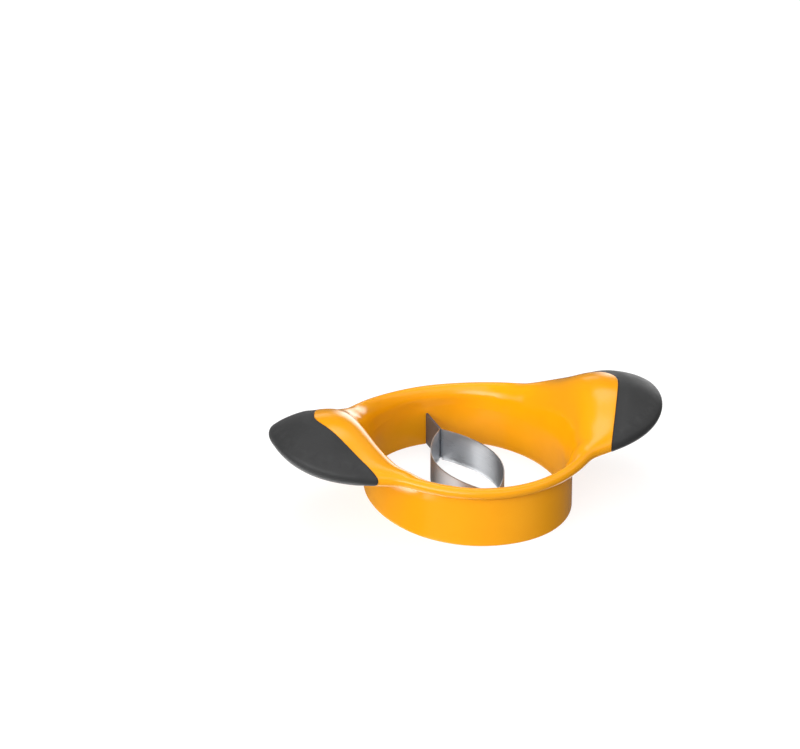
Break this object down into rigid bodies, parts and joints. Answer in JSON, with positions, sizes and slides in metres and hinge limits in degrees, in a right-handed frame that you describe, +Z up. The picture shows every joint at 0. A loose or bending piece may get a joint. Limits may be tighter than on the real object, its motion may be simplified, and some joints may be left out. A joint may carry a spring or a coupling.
{
  "type": "mango slicer",
  "caption": "Oval moulded collar with two broad raised handles, soft grips on the handle ends, and an almond-shaped loop of thin steel strips across the inside.",
  "frame": {"origin": "centre of the collar in plan, on its flat bottom edge", "axes": "+X along the handles to the right one, +Y along the blade, away from the viewer, +Z up, from the cutting edge to the handles"},
  "size_m": [0.1916, 0.1274, 0.0496],
  "materials": {
    "collar_plastic": "glossy yellow-orange moulded plastic",
    "grip_soft": "matte charcoal soft grip",
    "blade_steel": "fine rolled stainless strip, ground lower edge"
  },
  "bodies": {
    "root": {"body": "collar_plastic", "grip_left": "grip_soft", "grip_right": "grip_soft", "blade_left": "blade_steel", "blade_right": "blade_steel"}
  },
  "joints": []
}
